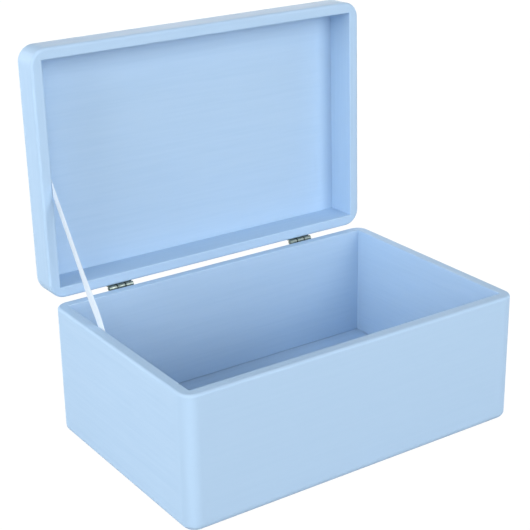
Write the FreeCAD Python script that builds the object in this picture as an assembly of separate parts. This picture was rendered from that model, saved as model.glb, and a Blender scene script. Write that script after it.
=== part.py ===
import FreeCAD
import Part
import math
import os

from FreeCAD import Vector

# A painted wooden keepsake box that stands open on its base.
# Millimetres. +X runs to the right, -Y is the front, +Z is up. The origin is the middle
# of the footprint, on the surface that the box stands on.
# The lid is modelled closed and then turned about the hinge pins to its open stop.

# Overall sizes of the closed box
box_width = 304.0
box_depth = 198.0
body_height = 107.5
lid_height = 31.2
seam_gap = 0.3

# Walls and their rounded edges
wall = 9.0
corner_radius = 11.0
lid_corner_radius = 13.5
base_edge_radius = 5.5
rim_outer_radius = 2.3
rim_inner_radius = 0.8
lid_edge_radius = 11.0
largest_edge_share = 0.95

# Plywood bottom, held in a groove round the body, and plywood top, glued on the lid's frame
bottom_thickness = 4.0
bottom_rise = 7.5
groove_depth = 4.5
bottom_edge_play = 0.3
bottom_face_play = 0.5
top_thickness = 4.0

# Finger joints of the body: how many fingers share each corner's height
body_fingers = 5

# Rolled-knuckle butt hinges on the back faces
hinge_length = 22.0
hinge_from_left_end = 61.5
hinge_from_right_end = 65.0
knuckle_count = 3
knuckle_gap = 0.3
leaf_thickness = 0.9
leaf_height = 10.5
leaf_corner_radius = 1.5
leaf_setback = 0.4
pin_radius = 1.0
pin_running_clearance = 0.04
pin_overhang = 0.4

# Hinge screws, two in each leaf; a shank with few flat sides stands for the thread
screws_per_leaf = 2
screw_from_leaf_end = 5.0
screw_head_radius = 1.6
screw_head_height = 0.6
screw_slot_width = 0.5
screw_slot_depth = 0.3
screw_shank_radius = 0.75
screw_tip_radius = 0.2
screw_shank_length = 7.0
screw_shank_sides = 8

# Ribbon that stops the lid, flat against the inside of the left walls
open_angle = 91.2
ribbon_width = 7.0
ribbon_thickness = 0.5
ribbon_tail = 5.0
box_anchor_from_axis = 74.5
box_anchor_below_rim = 14.0
lid_anchor_from_axis = 104.8
lid_anchor_above_rim = 9.3

# Wire staples that fasten the ribbon's ends
staple_from_ribbon_edge = 1.0
staple_leg = 5.0
staple_wire_width = 1.0
staple_wire_thickness = 0.6
staple_bend_radius = 0.4

# Clearance round screws and staple legs, overrun of the cuts, and the slack in picking edges
fastener_clearance = 0.05
overrun = 1.0
edge_slack = 0.001

# Places that follow from the sizes
inner_x = box_width / 2 - wall
inner_y = box_depth / 2 - wall
back_face = box_depth / 2
lid_rim = body_height + seam_gap
lid_top = lid_rim + lid_height
frame_top = lid_top - top_thickness
knuckle_bore = pin_radius + pin_running_clearance
knuckle_radius = knuckle_bore + leaf_thickness
knuckle_pitch = hinge_length / knuckle_count
axis_y = back_face + knuckle_radius
axis_z = body_height
leaf_near = knuckle_radius + leaf_setback
screw_from_axis = (leaf_near + leaf_height) / 2
screw_pitch = (hinge_length - 2 * screw_from_leaf_end) / (screws_per_leaf - 1)
staple_crown = ribbon_width - 2 * staple_from_ribbon_edge
hinge_centres = {
    "left": -box_width / 2 + hinge_from_left_end,
    "right": box_width / 2 - hinge_from_right_end,
}
BELOW = -1
ABOVE = 1


def block(low, high):
    """A box between two corners, each given as (x, y, z)."""
    size = [h - l for l, h in zip(low, high)]
    return Part.makeBox(*size, Vector(*low))


def level_edges(form, height):
    """The edges of a form that lie in the level plane at a height."""
    found = []
    for edge in form.Edges:
        box = edge.BoundBox
        if abs(box.ZMin - height) < edge_slack and abs(box.ZMax - height) < edge_slack:
            found.append(edge)
    return found


def turned_open(form):
    """A piece of the lid, turned about the hinge pins from closed to its open stop."""
    return form.rotated(Vector(0, axis_y, axis_z), Vector(1, 0, 0), -open_angle)


# Outer forms and walls
def rounded_form(bottom, top, upright_radius, lower_radius, upper_radius):
    """The solid outside of the box between two heights, with every outer edge rounded."""
    half_x, half_y = box_width / 2, box_depth / 2
    form = block((-half_x, -half_y, bottom), (half_x, half_y, top))
    uprights = [e for e in form.Edges if e.BoundBox.ZLength > edge_slack]
    form = form.makeFillet(upright_radius, uprights)
    for height, radius in ((bottom, lower_radius), (top, upper_radius)):
        radius = min(radius, upright_radius * largest_edge_share)
        form = form.makeFillet(radius, level_edges(form, height))
    return form


def hollow(form, bottom, top, rim):
    """The four walls of a form as one ring, with the inner edge of its rim eased."""
    cavity = block(
        (-inner_x, -inner_y, bottom - overrun),
        (inner_x, inner_y, top + overrun),
    )
    ring = form.cut(cavity)
    inner_edges = []
    for edge in level_edges(ring, rim):
        box = edge.BoundBox
        within_x = max(-box.XMin, box.XMax) < inner_x + edge_slack
        within_y = max(-box.YMin, box.YMax) < inner_y + edge_slack
        if within_x and within_y:
            inner_edges.append(edge)
    return ring.makeFillet(rim_inner_radius, inner_edges)


# Corner joints: fingers on the body, mitres on the lid's frame
def corner_fingers(bottom, top, count, first):
    """Every second finger of all four corners, starting from finger number first."""
    pitch = (top - bottom) / count
    fingers = []
    for number in range(first, count, 2):
        low = bottom + number * pitch - (overrun if number == 0 else 0)
        high = bottom + (number + 1) * pitch + (overrun if number == count - 1 else 0)
        for x_low in (-box_width / 2 - overrun, inner_x):
            for y_low in (-box_depth / 2 - overrun, inner_y):
                corner = (x_low, y_low, low)
                far = (x_low + wall + overrun, y_low + wall + overrun, high)
                fingers.append(block(corner, far))
    return Part.makeCompound(fingers)


def jointed_boards(ring, bottom, top, count):
    """The ring cut into four boards: front and back keep the even fingers, the ends the odd ones."""
    out_x, out_y = box_width / 2 + overrun, box_depth / 2 + overrun
    low, high = bottom - overrun, top + overrun
    even = corner_fingers(bottom, top, count, 0)
    odd = corner_fingers(bottom, top, count, 1)
    zones = {
        "front": (block((-out_x, -out_y, low), (out_x, -inner_y, high)), odd),
        "back": (block((-out_x, inner_y, low), (out_x, out_y, high)), odd),
        "left": (block((-out_x, -out_y, low), (-inner_x, out_y, high)), even),
        "right": (block((inner_x, -out_y, low), (out_x, out_y, high)), even),
    }
    return {side: ring.common(zone).cut(gaps) for side, (zone, gaps) in zones.items()}


def mitred_rails(ring, bottom, top):
    """The ring cut into four rails that meet on the corners' diagonals."""
    out_x, out_y = box_width / 2 + overrun, box_depth / 2 + overrun
    in_x, in_y = inner_x - overrun, inner_y - overrun
    low, high = bottom - overrun, top + overrun
    outlines = {
        "front": [(-out_x, -out_y), (out_x, -out_y), (in_x, -in_y), (-in_x, -in_y)],
        "back": [(-out_x, out_y), (out_x, out_y), (in_x, in_y), (-in_x, in_y)],
        "left": [(-out_x, -out_y), (-out_x, out_y), (-in_x, in_y), (-in_x, -in_y)],
        "right": [(out_x, -out_y), (out_x, out_y), (in_x, in_y), (in_x, -in_y)],
    }
    rails = {}
    for side, outline in outlines.items():
        corners = [Vector(x, y, low) for x, y in outline]
        zone = Part.Face(Part.makePolygon(corners + corners[:1]))
        rails[side] = ring.common(zone.extrude(Vector(0, 0, high - low)))
    return rails


# Plywood panels
def bottom_groove():
    """The slot round the inside of the body that holds the bottom."""
    reach_x, reach_y = inner_x + groove_depth, inner_y + groove_depth
    top = bottom_rise + bottom_thickness + bottom_face_play
    return block((-reach_x, -reach_y, bottom_rise), (reach_x, reach_y, top))


def bottom_panel():
    """The plywood bottom, which lies on the lower side of its groove."""
    reach_x = inner_x + groove_depth - bottom_edge_play
    reach_y = inner_y + groove_depth - bottom_edge_play
    top = bottom_rise + bottom_thickness
    return block((-reach_x, -reach_y, bottom_rise), (reach_x, reach_y, top))


# Hinges
def hinge_leaf(centre, side):
    """One leaf of a butt hinge: its plate, and knuckles rolled from every second tongue."""
    half = hinge_length / 2
    near = axis_z + side * leaf_near
    far = axis_z + side * leaf_height
    plate = block(
        (centre - half, back_face, min(near, far)),
        (centre + half, back_face + leaf_thickness, max(near, far)),
    )
    corners = [e for e in level_edges(plate, far) if e.BoundBox.YLength > edge_slack]
    leaf = plate.makeFillet(leaf_corner_radius, corners)
    first = 0 if side == BELOW else 1
    for number in range(first, knuckle_count, 2):
        low_x = centre - half + number * knuckle_pitch + knuckle_gap / 2
        high_x = low_x + knuckle_pitch - knuckle_gap
        tongue = block(
            (low_x, back_face, min(near, axis_z)),
            (high_x, back_face + leaf_thickness, max(near, axis_z)),
        )
        barrel = Part.makeCylinder(
            knuckle_radius, high_x - low_x, Vector(low_x, axis_y, axis_z), Vector(1, 0, 0)
        )
        leaf = leaf.fuse([tongue, barrel])
    bore = Part.makeCylinder(
        knuckle_bore, hinge_length + 2 * overrun,
        Vector(centre - half - overrun, axis_y, axis_z), Vector(1, 0, 0),
    )
    return leaf.cut(bore).removeSplitter()


def hinge_pin(centre):
    """The wire pin through the knuckles."""
    length = hinge_length + 2 * pin_overhang
    start = Vector(centre - length / 2, axis_y, axis_z)
    return Part.makeCylinder(pin_radius, length, start, Vector(1, 0, 0))


# Screws
def shank_section(x, y, z, radius):
    """The outline of a screw's shank, square to Y, with its corners at a radius."""
    corners = []
    for number in range(screw_shank_sides):
        angle = 2 * math.pi * number / screw_shank_sides
        corners.append(Vector(x + radius * math.cos(angle), y, z + radius * math.sin(angle)))
    return Part.makePolygon(corners + corners[:1])


def screw_shank(x, z, grow):
    """A shank that tapers from the head's seat to its tip, larger all round by grow."""
    seat = back_face + leaf_thickness
    tip = seat - screw_shank_length - grow
    sections = [
        shank_section(x, seat, z, screw_shank_radius + grow),
        shank_section(x, tip, z, screw_tip_radius + grow),
    ]
    return Part.makeLoft(sections, True, True)


def screw_places(side):
    """Where the screws of both hinges' leaves on one side of the seam sit, as (x, z)."""
    z = axis_z + side * screw_from_axis
    first = screw_from_leaf_end - hinge_length / 2
    return [
        (centre + first + number * screw_pitch, z)
        for centre in hinge_centres.values()
        for number in range(screws_per_leaf)
    ]


def screw(x, z):
    """A hinge screw whose head stands on the leaf, with a driver slot across it."""
    seat = back_face + leaf_thickness
    face = seat + screw_head_height
    head = Part.makeCylinder(
        screw_head_radius, screw_head_height, Vector(x, seat, z), Vector(0, 1, 0)
    )
    slot = block(
        (x - screw_head_radius - overrun, face - screw_slot_depth, z - screw_slot_width / 2),
        (x + screw_head_radius + overrun, face + overrun, z + screw_slot_width / 2),
    )
    return screw_shank(x, z, 0).fuse(head).cut(slot)


def screw_set(side):
    """The screws of one side of the seam, as separate solids, and the cut that clears them."""
    places = screw_places(side)
    screws = Part.makeCompound([screw(x, z) for x, z in places])
    holes = Part.makeCompound([screw_shank(x, z, fastener_clearance) for x, z in places])
    return screws, holes


# Ribbon and staples
def ribbon_ends():
    """The ribbon's two anchors with the lid open, as (y, z)."""
    box_end = (axis_y - box_anchor_from_axis, body_height - box_anchor_below_rim)
    lid_point = Part.Vertex(0, axis_y - lid_anchor_from_axis, lid_rim + lid_anchor_above_rim)
    open_point = turned_open(lid_point).Point
    return box_end, (open_point.y, open_point.z)


def along_ribbon(form, distance):
    """A form drawn about the origin along +Y, laid on the left walls at a distance along the ribbon."""
    (y0, z0), (y1, z1) = ribbon_ends()
    slope = math.degrees(math.atan2(z1 - z0, y1 - y0))
    form.translate(Vector(0, distance, 0))
    form.rotate(Vector(0, 0, 0), Vector(1, 0, 0), slope)
    form.translate(Vector(-inner_x, y0, z0))
    return form


def ribbon_length():
    """The ribbon's length between its two anchors."""
    return math.dist(*ribbon_ends())


def ribbon():
    """The ribbon, pulled straight by the open lid."""
    half = ribbon_width / 2
    band = block(
        (0, -ribbon_tail, -half),
        (ribbon_thickness, ribbon_length() + ribbon_tail, half),
    )
    return along_ribbon(band, 0)


def staple(distance):
    """A flat-wire staple with its crown across the ribbon and its legs in the wall."""
    half, width = staple_crown / 2, staple_wire_width / 2
    top = ribbon_thickness + staple_wire_thickness
    outside = block((-staple_leg, -width, -half), (top, width, half))
    bends = [
        e for e in outside.Edges
        if e.BoundBox.YLength > edge_slack and abs(e.CenterOfMass.x - top) < edge_slack
    ]
    outside = outside.makeFillet(staple_bend_radius, bends)
    inside_half = half - staple_wire_thickness
    inside = block(
        (-staple_leg - overrun, -width - overrun, -inside_half),
        (ribbon_thickness, width + overrun, inside_half),
    )
    return along_ribbon(outside.cut(inside), distance)


def staple_holes(distance):
    """The two slots that clear a staple's legs through the ribbon and into the wall."""
    half, width = staple_crown / 2, staple_wire_width / 2 + fastener_clearance
    slots = []
    for low in (-half, half - staple_wire_thickness):
        high = low + staple_wire_thickness
        slots.append(
            block(
                (-staple_leg - fastener_clearance, -width, low - fastener_clearance),
                (ribbon_thickness + overrun, width, high + fastener_clearance),
            )
        )
    return along_ribbon(Part.makeCompound(slots), distance)


# Assembly
def body_nodes():
    """The body: four boards, the bottom, the hinges' lower leaves and pins, and their screws."""
    form = rounded_form(0, body_height, corner_radius, base_edge_radius, rim_outer_radius)
    ring = hollow(form, 0, body_height, body_height).cut(bottom_groove())
    boards = jointed_boards(ring, 0, body_height, body_fingers)
    screws, holes = screw_set(BELOW)
    nodes = {
        "front_board": boards["front"],
        "back_board": boards["back"].cut(holes),
        "left_end_board": boards["left"].cut(staple_holes(0)),
        "right_end_board": boards["right"],
        "bottom_panel": bottom_panel(),
        "hinge_box_screws": screws,
        "ribbon_box_staple": staple(0),
    }
    for side, centre in hinge_centres.items():
        nodes[f"{side}_hinge_box_leaf"] = hinge_leaf(centre, BELOW).cut(holes)
        nodes[f"{side}_hinge_pin"] = hinge_pin(centre)
    return nodes


def lid_nodes():
    """The lid, turned open: four rails, the top, the hinges' upper leaves and their screws."""
    form = rounded_form(lid_rim, lid_top, lid_corner_radius, rim_outer_radius, lid_edge_radius)
    out_x, out_y = box_width / 2 + overrun, box_depth / 2 + overrun
    above = block((-out_x, -out_y, frame_top), (out_x, out_y, lid_top + overrun))
    ring = hollow(form.cut(above), lid_rim, frame_top, lid_rim)
    rails = mitred_rails(ring, lid_rim, frame_top)
    screws, holes = screw_set(ABOVE)
    closed = {
        "lid_front_rail": rails["front"],
        "lid_back_rail": rails["back"].cut(holes),
        "lid_left_rail": rails["left"],
        "lid_right_rail": rails["right"],
        "lid_top_panel": form.common(above),
        "hinge_lid_screws": screws,
    }
    for side, centre in hinge_centres.items():
        closed[f"{side}_hinge_lid_leaf"] = hinge_leaf(centre, ABOVE).cut(holes)
    nodes = {name: turned_open(piece) for name, piece in closed.items()}
    nodes["lid_left_rail"] = nodes["lid_left_rail"].cut(staple_holes(ribbon_length()))
    nodes["ribbon_lid_staple"] = staple(ribbon_length())
    return nodes


def stay_nodes():
    """The ribbon, with the slots that the staples' legs pass through."""
    slots = [staple_holes(0), staple_holes(ribbon_length())]
    return {"lid_stay_ribbon": ribbon().cut(slots)}


def main():
    os.makedirs("parts", exist_ok=True)
    nodes = {**body_nodes(), **lid_nodes(), **stay_nodes()}
    for name, piece in nodes.items():
        piece.exportStep(f"parts/{name}.step")
        print(name, len(piece.Solids), round(piece.Volume), piece.isValid())
    print("ribbon between its staples", round(ribbon_length(), 1))


main()
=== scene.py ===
"""Looks of a pale blue wooden keepsake box whose lid is held open by a white ribbon.

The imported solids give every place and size. This script paints the boards, ages the hinges,
models the ribbon and sets a white product studio round the box.
"""

import logging
import math
from dataclasses import dataclass, field
from enum import Enum
from typing import Any

import bmesh
import bpy
from mathutils import Matrix, Vector


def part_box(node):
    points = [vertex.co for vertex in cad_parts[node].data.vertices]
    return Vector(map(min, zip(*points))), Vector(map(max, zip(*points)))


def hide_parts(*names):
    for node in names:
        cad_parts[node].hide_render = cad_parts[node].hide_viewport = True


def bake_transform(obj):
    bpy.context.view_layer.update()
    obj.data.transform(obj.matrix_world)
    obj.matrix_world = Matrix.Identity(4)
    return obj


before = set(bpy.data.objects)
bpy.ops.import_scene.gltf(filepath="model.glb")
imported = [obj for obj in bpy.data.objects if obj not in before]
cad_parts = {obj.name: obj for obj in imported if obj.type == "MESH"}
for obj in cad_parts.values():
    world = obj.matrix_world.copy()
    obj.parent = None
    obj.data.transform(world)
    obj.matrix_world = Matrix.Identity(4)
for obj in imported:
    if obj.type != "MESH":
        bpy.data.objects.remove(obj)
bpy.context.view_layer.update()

MM = 0.001

# How sRGB codes a colour
HEX_PAIRS = (1, 3, 5)
HEX_TOP = 255
SRGB_KNEE = 0.04045
SRGB_SLOPE = 12.92
SRGB_OFFSET = 0.055
SRGB_POWER = 2.4

# Sockets of the Mix node, by number, because their names repeat
MIX_SHARE = 0
MIX_VALUE_A = 2
MIX_VALUE_B = 3
MIX_COLOUR_A = 6
MIX_COLOUR_B = 7
MIX_COLOUR_RESULT = 2

log = logging.getLogger("keepsake_box")


class Axis(Enum):
    """A direction of the shared frame, by its place in a coordinate triple."""

    X = 0
    Y = 1
    Z = 2


def linear(hex_colour: str) -> tuple[float, float, float, float]:
    """Turns an sRGB hex colour into the linear colour that a shader socket takes.

    Args:
        hex_colour: Six hex digits after a hash sign.

    Returns:
        Linear red, green and blue, and an alpha of one.
    """
    channels = []
    for start in HEX_PAIRS:
        value = int(hex_colour[start:start + 2], 16) / HEX_TOP
        if value <= SRGB_KNEE:
            channels.append(value / SRGB_SLOPE)
        else:
            channels.append(((value + SRGB_OFFSET) / (1 + SRGB_OFFSET)) ** SRGB_POWER)
    return (*channels, 1.0)


def add_node(
    tree: bpy.types.NodeTree,
    kind: str,
    inputs: dict[str | int, Any] | None = None,
    stops: tuple[tuple[float, str], ...] = (),
    **settings: Any,
) -> bpy.types.Node:
    """Adds a node to a tree, with its settings, values and links.

    Args:
        tree: The tree that takes the node.
        kind: The node's type, without its ShaderNode prefix.
        inputs: A value, or an output socket to link, for each input socket's name or number.
        stops: On a colour ramp, the place from 0 to 1 and the hex colour of both stops.
        **settings: Properties of the node itself.

    Returns:
        The new node.
    """
    node = tree.nodes.new(f"ShaderNode{kind}")
    for name, value in settings.items():
        setattr(node, name, value)
    for socket, value in (inputs or {}).items():
        if isinstance(value, bpy.types.NodeSocket):
            tree.links.new(value, node.inputs[socket])
        else:
            node.inputs[socket].default_value = value
    for number, (place, colour) in enumerate(stops):
        node.color_ramp.elements[number].position = place
        node.color_ramp.elements[number].color = linear(colour)
    return node


def new_material(name: str) -> tuple[bpy.types.Material, bpy.types.NodeTree]:
    """Makes an empty node material.

    Args:
        name: The material's name.

    Returns:
        The material and its cleared node tree.
    """
    material = bpy.data.materials.new(name)
    material.use_nodes = True
    material.node_tree.nodes.clear()
    return material, material.node_tree


def dress(node_name: str, material: bpy.types.Material) -> None:
    """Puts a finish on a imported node.

    Args:
        node_name: The node's name.
        material: Its finish.
    """
    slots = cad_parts[node_name].data.materials
    slots.clear()
    slots.append(material)
    log.info("%s is dressed in %s", node_name, material.name)


def new_piece(
    name: str, shape: bmesh.types.BMesh, material: bpy.types.Material
) -> bpy.types.Object:
    """Turns a finished shape into a smooth-shaded piece at the origin.

    Args:
        name: The piece's name.
        shape: The shape, which is freed.
        material: The piece's finish.

    Returns:
        The new object.
    """
    mesh = bpy.data.meshes.new(name)
    shape.to_mesh(mesh)
    shape.free()
    mesh.materials.append(material)
    mesh.shade_smooth()
    piece = bpy.data.objects.new(name, mesh)
    bpy.context.scene.collection.objects.link(piece)
    return piece


@dataclass(frozen=True)
class SatinPaint:
    """Pale blue acrylic paint, brushed on sanded wood.

    The eye sees a soft, even colour with a low sheen, faint streaks where the brush followed the
    grain, and a grain too shallow to cast a shadow of its own.
    """

    name: str
    grain: Axis
    middle_mm: float
    half_length_mm: float
    marks: float
    light: str = "#AECCE8"
    dark: str = "#AAC9E6"
    dark_at: float = 0.32
    light_at: float = 0.62
    streak_length_mm: float = 70.0
    streak_width_mm: float = 2.6
    streak_detail: float = 4.0
    streak_roughness: float = 0.6
    unmarked_level: float = 0.5
    stipple_mm: float = 1.1
    stipple_detail: float = 2.0
    stipple_share: float = 0.35
    relief_mm: float = 0.026
    relief_strength: float = 0.6
    rough_at: float = 0.3
    smooth_at: float = 0.7
    roughness_high: float = 0.54
    roughness_low: float = 0.44
    joint_fade_mm: float = 10.0
    refraction: float = 1.48
    specular_level: float = 0.06

    def material(self) -> bpy.types.Material:
        """Builds the paint's material.

        Returns:
            The finished material.
        """
        material, tree = new_material(self.name)
        place = add_node(tree, "TexCoord").outputs["Object"]
        stretch = [1 / (self.streak_width_mm * MM)] * 3
        stretch[self.grain.value] = 1 / (self.streak_length_mm * MM)
        grain_place = add_node(tree, "Mapping", {"Vector": place, "Scale": stretch})
        streaks = add_node(
            tree, "TexNoise",
            {"Vector": grain_place.outputs["Vector"], "Scale": 1.0,
             "Detail": self.streak_detail, "Roughness": self.streak_roughness},
        )
        stipple = add_node(
            tree, "TexNoise",
            {"Vector": place, "Scale": 1 / (self.stipple_mm * MM), "Detail": self.stipple_detail},
        )
        level = add_node(
            tree, "Mix",
            {MIX_SHARE: self.joint_fade(tree, place), MIX_VALUE_A: self.unmarked_level,
             MIX_VALUE_B: streaks.outputs["Fac"]},
        ).outputs[0]
        colour = add_node(
            tree, "ValToRGB", {"Fac": level},
            stops=((self.dark_at, self.dark), (self.light_at, self.light)),
        )
        rough = add_node(
            tree, "MapRange",
            {"Value": level, "From Min": self.rough_at, "From Max": self.smooth_at,
             "To Min": self.roughness_high, "To Max": self.roughness_low},
        )
        height = add_node(
            tree, "Math", {0: stipple.outputs["Fac"], 1: self.stipple_share, 2: level},
            operation="MULTIPLY_ADD",
        )
        bump = add_node(
            tree, "Bump",
            {"Height": height.outputs[0], "Distance": self.relief_mm * MM,
             "Strength": self.relief_strength},
        )
        paint = add_node(
            tree, "BsdfPrincipled",
            {"Base Color": colour.outputs["Color"], "Roughness": rough.outputs["Result"],
             "Normal": bump.outputs["Normal"], "IOR": self.refraction,
             "Specular IOR Level": self.specular_level},
        )
        add_node(tree, "OutputMaterial", {"Surface": paint.outputs["BSDF"]})
        return material

    def joint_fade(
        self, tree: bpy.types.NodeTree, place: bpy.types.NodeSocket
    ) -> bpy.types.NodeSocket:
        """Fades the brush marks out over the sanded and filled corner joints.

        Args:
            tree: The material's tree.
            place: The place on the board.

        Returns:
            How plainly the marks show: in full along the board, and not at all on its joints.
        """
        parts = add_node(tree, "SeparateXYZ", {"Vector": place})
        from_middle = add_node(
            tree, "Math", {0: parts.outputs[self.grain.value], 1: self.middle_mm * MM},
            operation="SUBTRACT",
        )
        distance = add_node(tree, "Math", {0: from_middle.outputs[0]}, operation="ABSOLUTE")
        end = self.half_length_mm * MM
        fade = add_node(
            tree, "MapRange",
            {"Value": distance.outputs[0], "From Min": end - 2 * self.joint_fade_mm * MM,
             "From Max": end - self.joint_fade_mm * MM, "To Min": self.marks, "To Max": 0.0},
            interpolation_type="SMOOTHSTEP",
        )
        return fade.outputs["Result"]


@dataclass(frozen=True)
class AgedBrass:
    """Rolled brass sheet and wire, chemically darkened and rubbed bright where it is handled.

    The eye sees a dull grey green with paler, shinier patches. Where two knuckles of a barrel
    meet, the
    colour turns nearly black: painted shade standing for the shadowed gap between the knuckles.
    """

    name: str
    pin_middle_mm: tuple[float, float, float]
    knuckle_mm: float
    dark: str = "#4F605C"
    worn: str = "#9FABA6"
    dark_at: float = 0.28
    worn_at: float = 0.78
    # Painted shade: a nearly black colour on the barrel where two knuckles meet, for the shadowed
    # gap between them.
    painted_knuckle_shade: str = "#2C3836"
    painted_knuckle_shade_full_mm: float = 0.3
    painted_knuckle_shade_reach_mm: float = 0.9
    barrel_radius_mm: float = 2.1
    patch_mm: float = 2.2
    patch_detail: float = 3.0
    patch_roughness: float = 0.6
    dull_at: float = 0.35
    shiny_at: float = 0.7
    roughness_high: float = 0.52
    roughness_low: float = 0.28
    scratch_mm: float = 0.35
    scratch_detail: float = 2.0
    relief_mm: float = 0.02
    relief_strength: float = 0.4

    def material(self) -> bpy.types.Material:
        """Builds the metal's material.

        Returns:
            The finished material.
        """
        material, tree = new_material(self.name)
        place = add_node(tree, "TexCoord").outputs["Object"]
        patches = add_node(
            tree, "TexNoise",
            {"Vector": place, "Scale": 1 / (self.patch_mm * MM),
             "Detail": self.patch_detail, "Roughness": self.patch_roughness},
        )
        scratches = add_node(
            tree, "TexNoise",
            {"Vector": place, "Scale": 1 / (self.scratch_mm * MM), "Detail": self.scratch_detail},
        )
        colour = add_node(
            tree, "ValToRGB", {"Fac": patches.outputs["Fac"]},
            stops=((self.dark_at, self.dark), (self.worn_at, self.worn)),
        )
        # Painted shade: the patina colour turns nearly black at the knuckle joints.
        patina_and_shade = add_node(
            tree, "Mix",
            {MIX_SHARE: self.at_knuckle_joints(tree, place),
             MIX_COLOUR_A: colour.outputs["Color"], MIX_COLOUR_B: linear(self.painted_knuckle_shade)},
            data_type="RGBA",
        )
        rough = add_node(
            tree, "MapRange",
            {"Value": patches.outputs["Fac"], "From Min": self.dull_at, "From Max": self.shiny_at,
             "To Min": self.roughness_high, "To Max": self.roughness_low},
        )
        bump = add_node(
            tree, "Bump",
            {"Height": scratches.outputs["Fac"], "Distance": self.relief_mm * MM,
             "Strength": self.relief_strength},
        )
        metal = add_node(
            tree, "BsdfPrincipled",
            {"Base Color": patina_and_shade.outputs[MIX_COLOUR_RESULT], "Metallic": 1.0,
             "Roughness": rough.outputs["Result"], "Normal": bump.outputs["Normal"]},
        )
        add_node(tree, "OutputMaterial", {"Surface": metal.outputs["BSDF"]})
        return material

    def at_knuckle_joints(
        self, tree: bpy.types.NodeTree, place: bpy.types.NodeSocket
    ) -> bpy.types.NodeSocket:
        """Finds where the painted shade goes: on the barrel, where two knuckles meet.

        Args:
            tree: The material's tree.
            place: The place on the hinge.

        Returns:
            One at a joint between two knuckles, and zero away from it and on the flat leaves.
        """
        from_pin = add_node(
            tree, "VectorMath", {0: place, 1: Vector(self.pin_middle_mm) * MM},
            operation="SUBTRACT",
        )
        parts = add_node(tree, "SeparateXYZ", {"Vector": from_pin.outputs["Vector"]})
        along = add_node(tree, "Math", {0: parts.outputs["X"]}, operation="ABSOLUTE")
        past = add_node(
            tree, "Math", {0: along.outputs[0], 1: self.knuckle_mm / 2 * MM},
            operation="SUBTRACT",
        )
        away = add_node(tree, "Math", {0: past.outputs[0]}, operation="ABSOLUTE")
        near = add_node(
            tree, "MapRange",
            {"Value": away.outputs[0], "From Min": self.painted_knuckle_shade_full_mm * MM,
             "From Max": self.painted_knuckle_shade_reach_mm * MM, "To Min": 1.0, "To Max": 0.0},
            interpolation_type="SMOOTHSTEP",
        )
        across = add_node(
            tree, "CombineXYZ", {"Y": parts.outputs["Y"], "Z": parts.outputs["Z"]}
        )
        radius = add_node(tree, "VectorMath", {0: across.outputs["Vector"]}, operation="LENGTH")
        barrel = add_node(
            tree, "Math", {0: radius.outputs["Value"], 1: self.barrel_radius_mm * MM},
            operation="LESS_THAN",
        )
        both = add_node(
            tree, "Math", {0: near.outputs["Result"], 1: barrel.outputs[0]}, operation="MULTIPLY"
        )
        return both.outputs[0]


@dataclass(frozen=True)
class GalvanisedWire:
    """Flattened zinc-coated staple wire: pale grey, drawn smooth, with fine mottling."""

    name: str = "galvanised_wire"
    dark: str = "#8F9296"
    light: str = "#C9CCCF"
    dark_at: float = 0.3
    light_at: float = 0.7
    mottle_mm: float = 0.4
    mottle_detail: float = 2.0
    roughness_high: float = 0.38
    roughness_low: float = 0.24

    def material(self) -> bpy.types.Material:
        """Builds the wire's material.

        Returns:
            The finished material.
        """
        material, tree = new_material(self.name)
        place = add_node(tree, "TexCoord").outputs["Object"]
        mottle = add_node(
            tree, "TexNoise",
            {"Vector": place, "Scale": 1 / (self.mottle_mm * MM), "Detail": self.mottle_detail},
        )
        colour = add_node(
            tree, "ValToRGB", {"Fac": mottle.outputs["Fac"]},
            stops=((self.dark_at, self.dark), (self.light_at, self.light)),
        )
        rough = add_node(
            tree, "MapRange",
            {"Value": mottle.outputs["Fac"], "To Min": self.roughness_high,
             "To Max": self.roughness_low},
        )
        metal = add_node(
            tree, "BsdfPrincipled",
            {"Base Color": colour.outputs["Color"], "Metallic": 1.0,
             "Roughness": rough.outputs["Result"]},
        )
        add_node(tree, "OutputMaterial", {"Surface": metal.outputs["BSDF"]})
        return material


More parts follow.
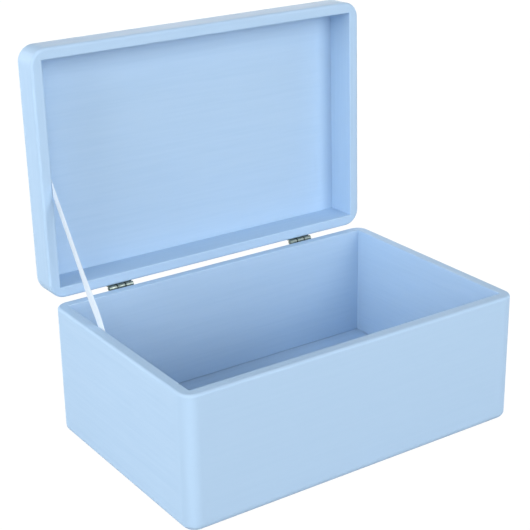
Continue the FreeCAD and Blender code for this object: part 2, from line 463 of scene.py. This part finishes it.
@dataclass(frozen=True)
class WovenRibbon:
    """White polyester grosgrain: fine ribs across the band and firm woven edges.

    The eye sees a soft, matt white, tinted blue as painted bounce light from the boards. The ribs
    are drawn at nearly twice their real spacing of 0.5 mm, because finer ones would not show.
    """

    name: str = "grosgrain_ribbon"
    map_name: str = "ribbon_mm"
    # Painted light: the white thread colour is tinted blue for the light bounced off the blue
    # boards.
    thread_and_blue_bounce: str = "#CDDDEB"
    shade: str = "#BFD0E1"
    shade_at: float = 0.0
    thread_and_blue_bounce_at: float = 0.6
    rib_mm: float = 0.9
    fuzz_per_mm: float = 2.2
    fuzz_detail: float = 3.0
    fuzz_share: float = 0.3
    valley: float = -0.8
    crest: float = 0.9
    relief_mm: float = 0.04
    relief_strength: float = 0.35
    roughness: float = 0.72
    sheen: float = 0.25
    sheen_roughness: float = 0.5

    def material(self) -> bpy.types.Material:
        """Builds the ribbon's material on its own map, which counts millimetres.

        Returns:
            The finished material.
        """
        material, tree = new_material(self.name)
        flat = add_node(tree, "UVMap", uv_map=self.map_name).outputs["UV"]
        parts = add_node(tree, "SeparateXYZ", {"Vector": flat})
        phase = add_node(
            tree, "Math", {0: parts.outputs["Y"], 1: math.tau / self.rib_mm}, operation="MULTIPLY"
        )
        wave = add_node(tree, "Math", {0: phase.outputs[0]}, operation="SINE")
        fuzz = add_node(
            tree, "TexNoise",
            {"Vector": flat, "Scale": self.fuzz_per_mm, "Detail": self.fuzz_detail},
        )
        height = add_node(
            tree, "Math", {0: fuzz.outputs["Fac"], 1: self.fuzz_share, 2: wave.outputs[0]},
            operation="MULTIPLY_ADD",
        )
        # The colour follows the height: darker in the rib valleys as painted shade, and varying
        # at random with the fuzz.
        tone = add_node(
            tree, "MapRange",
            {"Value": height.outputs[0], "From Min": self.valley, "From Max": self.crest},
        )
        colour = add_node(
            tree, "ValToRGB", {"Fac": tone.outputs["Result"]},
            stops=((self.shade_at, self.shade), (self.thread_and_blue_bounce_at, self.thread_and_blue_bounce)),
        )
        bump = add_node(
            tree, "Bump",
            {"Height": height.outputs[0], "Distance": self.relief_mm * MM,
             "Strength": self.relief_strength},
        )
        cloth = add_node(
            tree, "BsdfPrincipled",
            {"Base Color": colour.outputs["Color"], "Roughness": self.roughness,
             "Sheen Weight": self.sheen, "Sheen Roughness": self.sheen_roughness,
             "Normal": bump.outputs["Normal"]},
        )
        add_node(tree, "OutputMaterial", {"Surface": cloth.outputs["BSDF"]})
        return material


def paint_boards(name: str, boards: tuple[str, ...], grain: Axis, marks: float = 1.0) -> None:
    """Paints a group of boards that share a grain direction and a length.

    Args:
        name: The group's name.
        boards: The boards' nodes.
        grain: The direction of the grain.
        marks: How plainly the brush marks show, as a share.
    """
    low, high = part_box(boards[0])
    start, end = low[grain.value] / MM, high[grain.value] / MM
    paint = SatinPaint(
        f"satin_paint_{name}", grain, (start + end) / 2, (end - start) / 2, marks
    )
    material = paint.material()
    for board in boards:
        dress(board, material)


@dataclass
class WoodenBody:
    """The lower part of the box: four finger-jointed boards and the plywood bottom."""

    front_boards: tuple[str, ...] = ("front_board",)
    front_marks: float = 0.45
    long_boards: tuple[str, ...] = ("back_board", "bottom_panel")
    end_boards: tuple[str, ...] = ("left_end_board", "right_end_board")

    def dress(self) -> None:
        """Paints the boards, with the grain along each and the front rubbed smoothest."""
        paint_boards("body_front", self.front_boards, Axis.X, self.front_marks)
        paint_boards("body_long_boards", self.long_boards, Axis.X)
        paint_boards("body_end_boards", self.end_boards, Axis.Y)


@dataclass
class WoodenLid:
    """The lid, which stands open: four mitred rails and the plywood top."""

    long_boards: tuple[str, ...] = ("lid_front_rail", "lid_back_rail", "lid_top_panel")
    end_boards: tuple[str, ...] = ("lid_left_rail", "lid_right_rail")

    def dress(self) -> None:
        """Paints the rails and the top, with the grain along each."""
        paint_boards("lid_long_boards", self.long_boards, Axis.X)
        paint_boards("lid_end_boards", self.end_boards, Axis.Z)


@dataclass
class Hinges:
    """Two small butt hinges with their pins and slotted screws."""

    sides: tuple[str, ...] = ("left", "right")
    parts: tuple[str, ...] = ("box_leaf", "lid_leaf", "pin")
    screws: tuple[str, ...] = ("hinge_box_screws", "hinge_lid_screws")
    knuckles: int = 3

    def metal(self, side: str) -> bpy.types.Material:
        """Builds the metal of one hinge, with painted shade at that hinge's own knuckle joints.

        Args:
            side: The hinge's side.

        Returns:
            The finished material.
        """
        low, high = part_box(f"{side}_hinge_pin")
        leaf_low, leaf_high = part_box(f"{side}_hinge_box_leaf")
        middle = tuple((a + b) / 2 / MM for a, b in zip(low, high))
        length_mm = (leaf_high[Axis.X.value] - leaf_low[Axis.X.value]) / MM
        return AgedBrass(f"aged_brass_{side}", middle, length_mm / self.knuckles).material()

    def dress(self) -> None:
        """Darkens the leaves, pins and screws."""
        for side in self.sides:
            material = self.metal(side)
            for part in self.parts:
                dress(f"{side}_hinge_{part}", material)
        # The screws are clear of both barrels, so either hinge's metal serves for them all.
        for group in self.screws:
            dress(group, material)


@dataclass
class RibbonStay:
    """The ribbon that stops the lid, with the two staples that hold its ends."""

    width_mm: float = 7.0
    thickness_mm: float = 0.45
    cloth: WovenRibbon = field(default_factory=WovenRibbon)
    wire: GalvanisedWire = field(default_factory=GalvanisedWire)
    staples: tuple[str, ...] = ("ribbon_box_staple", "ribbon_lid_staple")
    box_anchor_mm: tuple[float, float, float] = (-142.75, 26.44, 93.5)
    lid_anchor_mm: tuple[float, float, float] = (-142.75, 112.73, 212.08)
    route_mm: tuple[tuple[float, float, float], ...] = (
        (-142.75, 23.5, 89.45),
        (-142.75, 29.4, 97.5),
        (-142.2, 41.4, 115.0),
        (-142.5, 50.0, 125.6),
        (-142.7, 61.7, 142.1),
        (-142.7, 79.3, 166.4),
        (-142.75, 97.1, 190.7),
        (-142.75, 115.67, 216.12),
    )
    curve_order: int = 3
    curve_steps: int = 12
    twist_deg: float = 16.0
    twist_peak_share: float = 0.25
    twist_spread_share: float = 0.15

    def route(self) -> list[Vector]:
        """Reads the ribbon's middle line from a smooth curve through its route.

        Returns:
            Points along the line, in metres.
        """
        curve = bpy.data.curves.new("ribbon_route", "CURVE")
        curve.dimensions = "3D"
        curve.resolution_u = self.curve_steps
        spline = curve.splines.new("NURBS")
        spline.points.add(len(self.route_mm) - 1)
        for point, place in zip(spline.points, self.route_mm):
            point.co = (*(Vector(place) * MM), 1.0)
        spline.order_u = self.curve_order
        spline.use_endpoint_u = True
        holder = bpy.data.objects.new("ribbon_route", curve)
        line = bpy.data.meshes.new_from_object(holder)
        points = [vertex.co.copy() for vertex in line.vertices]
        bpy.data.objects.remove(holder)
        bpy.data.curves.remove(curve)
        bpy.data.meshes.remove(line)
        return points

    def twist(self, share: float) -> float:
        """How far the band turns towards the front at a share of its length.

        Args:
            share: The share of the length from the end at the box.

        Returns:
            The turn, in radians.
        """
        away = (share - self.twist_peak_share) / self.twist_spread_share
        return math.radians(self.twist_deg) * math.exp(-away ** 2)

    def section(self) -> list[tuple[float, float]]:
        """The band's outline across its width, with rounded woven edges.

        Returns:
            Points as (across, out), in millimetres, in order round the band.
        """
        half, thick = self.width_mm / 2, self.thickness_mm / 2
        across = [-half + thick, -half / 2, 0.0, half / 2, half - thick]
        front = [(a, thick) for a in across]
        back = [(a, -thick) for a in reversed(across)]
        return [(-half, 0.0), *front, (half, 0.0), *back]

    def build(self) -> None:
        """Models the band along its route and hangs it between the box and the lid."""
        line = self.route()
        travelled = [0.0]
        for before, after in zip(line, line[1:]):
            travelled.append(travelled[-1] + (after - before).length)
        ribbon = new_piece("lid_stay_band", self.sweep(line, travelled), self.cloth.material())
        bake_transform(ribbon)
        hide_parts("lid_stay_ribbon")
        log.info("%s is %.1f mm long", ribbon.name, travelled[-1] / MM)

    def sweep(self, line: list[Vector], travelled: list[float]) -> bmesh.types.BMesh:
        """Draws the band's outline along its middle line.

        Args:
            line: The middle line.
            travelled: The length of the line up to each point.

        Returns:
            The closed band, with its flat map.
        """
        section = self.section()
        shape = bmesh.new()
        ring = [shape.verts.new() for _ in section]
        edges = [shape.edges.new(ends) for ends in zip(ring, ring[1:] + ring[:1])]
        self.place_ring(ring, line, 0, travelled)
        spots = {vertex: (across, 0.0) for vertex, (across, _) in zip(ring, section)}
        shape.faces.new(ring)
        for number in range(1, len(line)):
            grown = bmesh.ops.extrude_edge_only(shape, edges=edges)["geom"]
            verts = [item for item in grown if isinstance(item, bmesh.types.BMVert)]
            edges = [
                item for item in grown
                if isinstance(item, bmesh.types.BMEdge) and all(v in verts for v in item.verts)
            ]
            by_before = {}
            for vertex in verts:
                others = [edge.other_vert(vertex) for edge in vertex.link_edges]
                by_before[next(other for other in others if other in ring)] = vertex
            ring = [by_before[vertex] for vertex in ring]
            self.place_ring(ring, line, number, travelled)
            for vertex, (across, _) in zip(ring, section):
                spots[vertex] = (across, travelled[number] / MM)
        shape.faces.new(ring)
        bmesh.ops.recalc_face_normals(shape, faces=shape.faces[:])
        layer = shape.loops.layers.uv.new(self.cloth.map_name)
        for face in shape.faces:
            for loop in face.loops:
                loop[layer].uv = spots[loop.vert]
        self.set_order(shape, list(spots))
        return shape

    def set_order(self, shape: bmesh.types.BMesh, order: list[bmesh.types.BMVert]) -> None:
        """Numbers the band along its length, because the extrusion's own order varies by run.

        Args:
            shape: The band.
            order: Its vertices, outline by outline from the box.
        """
        rank = {vertex: number for number, vertex in enumerate(order)}
        shape.verts.sort(key=lambda vertex: rank[vertex])
        shape.verts.index_update()
        for items in (shape.edges, shape.faces):
            corners = {item: [vertex.index for vertex in item.verts] for item in items}
            items.sort(key=lambda item: min(corners[item]) * len(rank) + max(corners[item]))

    def place_ring(
        self, ring: list[bmesh.types.BMVert], line: list[Vector], number: int,
        travelled: list[float],
    ) -> None:
        """Sets one outline of the band across its middle line.

        Args:
            ring: The outline's vertices, in the section's order.
            line: The middle line.
            number: Which point of the line the outline crosses.
            travelled: The length of the line up to each point.
        """
        before, after = line[max(number - 1, 0)], line[min(number + 1, len(line) - 1)]
        along = (after - before).normalized()
        turn = Matrix.Rotation(self.twist(travelled[number] / travelled[-1]), 3, along)
        out = (Vector((1, 0, 0)) - along * along.x).normalized()
        across = along.cross(out)
        out, across = turn @ out, turn @ across
        for vertex, (side, lift) in zip(ring, self.section()):
            vertex.co = line[number] + (across * side + out * lift) * MM

    def dress(self) -> None:
        """Gives both staples their wire finish."""
        material = self.wire.material()
        for staple in self.staples:
            dress(staple, material)


@dataclass
class ProductCamera:
    """The camera of the product photograph."""

    place_mm: tuple[float, float, float] = (-566.433, -808.542, 527.094)
    yaw_deg: float = 34.1274
    pitch_deg: float = 21.5788
    roll_deg: float = -0.8568
    focal_px: float = 1370.143
    frame_px: float = 530.0
    sensor_mm: float = 36.0
    reach_m: float = 200.0

    def build(self) -> None:
        """Sets the camera up and makes it the scene's own."""
        yaw, pitch, roll = (
            math.radians(angle) for angle in (self.yaw_deg, self.pitch_deg, self.roll_deg)
        )
        level = Vector((math.cos(yaw), -math.sin(yaw), 0))
        ahead = Vector((
            math.sin(yaw) * math.cos(pitch), math.cos(yaw) * math.cos(pitch), -math.sin(pitch)
        ))
        above = level.cross(ahead)
        right = level * math.cos(roll) + above * math.sin(roll)
        up = above * math.cos(roll) - level * math.sin(roll)
        lens = bpy.data.cameras.new("product_camera")
        lens.sensor_width = self.sensor_mm
        lens.lens = self.focal_px / self.frame_px * self.sensor_mm
        lens.clip_end = self.reach_m
        camera = bpy.data.objects.new("product_camera", lens)
        turned = Matrix((right, up, -ahead)).transposed().to_4x4()
        camera.matrix_world = Matrix.Translation(Vector(self.place_mm) * MM) @ turned
        bpy.context.scene.collection.objects.link(camera)
        bpy.context.scene.camera = camera


@dataclass(frozen=True)
class SoftBox:
    """A studio lamp behind a diffuser, placed by its direction from the box."""

    name: str
    to_left_deg: float
    elevation_deg: float
    power_w: float
    tint: str = "#FFFBF9"
    size_m: float = 1.3
    distance_m: float = 2.4
    aim_m: tuple[float, float, float] = (0.0, 0.02, 0.12)

    def build(self) -> None:
        """Hangs the lamp and points it at the box."""
        lamp = bpy.data.lights.new(self.name, "AREA")
        lamp.shape = "SQUARE"
        lamp.size = self.size_m
        lamp.energy = self.power_w
        lamp.color = linear(self.tint)[:3]
        turn, rise = math.radians(self.to_left_deg), math.radians(self.elevation_deg)
        away = Vector((
            -math.sin(turn) * math.cos(rise), -math.cos(turn) * math.cos(rise), math.sin(rise)
        ))
        holder = bpy.data.objects.new(self.name, lamp)
        holder.location = Vector(self.aim_m) + away * self.distance_m
        holder.rotation_euler = away.to_track_quat("Z", "Y").to_euler()
        bpy.context.scene.collection.objects.link(holder)


@dataclass
class Studio:
    """White floor, soft boxes and a bright room round the box."""

    floor_half_m: float = 60.0
    floor_bounce: str = "#A6A6A6"
    shadow_share: float = 0.05
    glow: float = 0.985
    room_level: float = 0.03
    room_white: float = 1.0
    lamps: tuple[SoftBox, ...] = (
        SoftBox("left_low_soft_box", 82.0, 14.0, 36.0),
        SoftBox("left_high_soft_box", 88.0, 38.0, 11.0),
        SoftBox("front_left_soft_box", 30.0, 26.0, 14.5),
        SoftBox("front_high_soft_box", -15.0, 30.0, 19.0),
        SoftBox("front_low_soft_box", -15.0, 10.0, 23.0),
        SoftBox("right_low_soft_box", -75.0, 10.0, 11.0),
        SoftBox("top_soft_box", 0.0, 85.0, 3.0),
        SoftBox("back_left_soft_box", 155.0, 15.0, 24.0),
        SoftBox("back_right_soft_box", -145.0, 15.0, 19.0),
    )

    def seen_directly(self, tree: bpy.types.NodeTree) -> bpy.types.NodeSocket:
        """Finds the rays that show the studio itself: direct, reflected or through glass.

        Args:
            tree: The material's or world's tree.

        Returns:
            One for such rays and zero for light that falls on the box.
        """
        path = add_node(tree, "LightPath")
        shown = path.outputs["Is Camera Ray"]
        for kind in ("Is Glossy Ray", "Is Transmission Ray"):
            shown = add_node(
                tree, "Math", {0: shown, 1: path.outputs[kind]}, operation="MAXIMUM"
            ).outputs[0]
        return shown

    def build(self) -> None:
        """Lays the floor, hangs the lamps and lights the room."""
        shape = bmesh.new()
        bmesh.ops.create_grid(shape, x_segments=1, y_segments=1, size=self.floor_half_m)
        floor = new_piece("studio_floor", shape, self.floor_material())
        for lamp in self.lamps:
            lamp.build()
        self.light_room()
        bpy.context.scene.view_settings.view_transform = "Standard"

    def floor_material(self) -> bpy.types.Material:
        """Builds the floor: white paper that keeps a pale shadow.

        Returns:
            The finished material.
        """
        material, tree = new_material("white_paper_floor")
        bounce = add_node(tree, "BsdfDiffuse", {"Color": linear(self.floor_bounce)})
        shadow = add_node(tree, "BsdfDiffuse", {"Color": (*[self.shadow_share] * 3, 1.0)})
        glow = add_node(tree, "Emission", {"Strength": self.glow})
        paper = add_node(
            tree, "AddShader", {0: shadow.outputs["BSDF"], 1: glow.outputs["Emission"]}
        )
        either = add_node(
            tree, "MixShader",
            {0: self.seen_directly(tree), 1: bounce.outputs["BSDF"], 2: paper.outputs["Shader"]},
        )
        add_node(tree, "OutputMaterial", {"Surface": either.outputs["Shader"]})
        return material

    def light_room(self) -> None:
        """Fills the room with even light, and shows it white."""
        world = bpy.data.worlds.new("bright_room")
        world.use_nodes = True
        tree = world.node_tree
        tree.nodes.clear()
        level = add_node(
            tree, "Mix",
            {MIX_SHARE: self.seen_directly(tree), MIX_VALUE_A: self.room_level,
             MIX_VALUE_B: self.room_white},
        )
        room = add_node(tree, "Background", {"Strength": level.outputs[0]})
        add_node(tree, "OutputWorld", {"Surface": room.outputs["Background"]})
        bpy.context.scene.world = world


def main() -> None:
    """Builds the camera, the box's pieces and finishes, and the studio."""
    logging.basicConfig(level=logging.INFO, format="%(message)s")
    ProductCamera().build()
    stay = RibbonStay()
    stay.build()
    stay.dress()
    WoodenBody().dress()
    WoodenLid().dress()
    Hinges().dress()
    Studio().build()


if __name__ == "__main__":
    main()
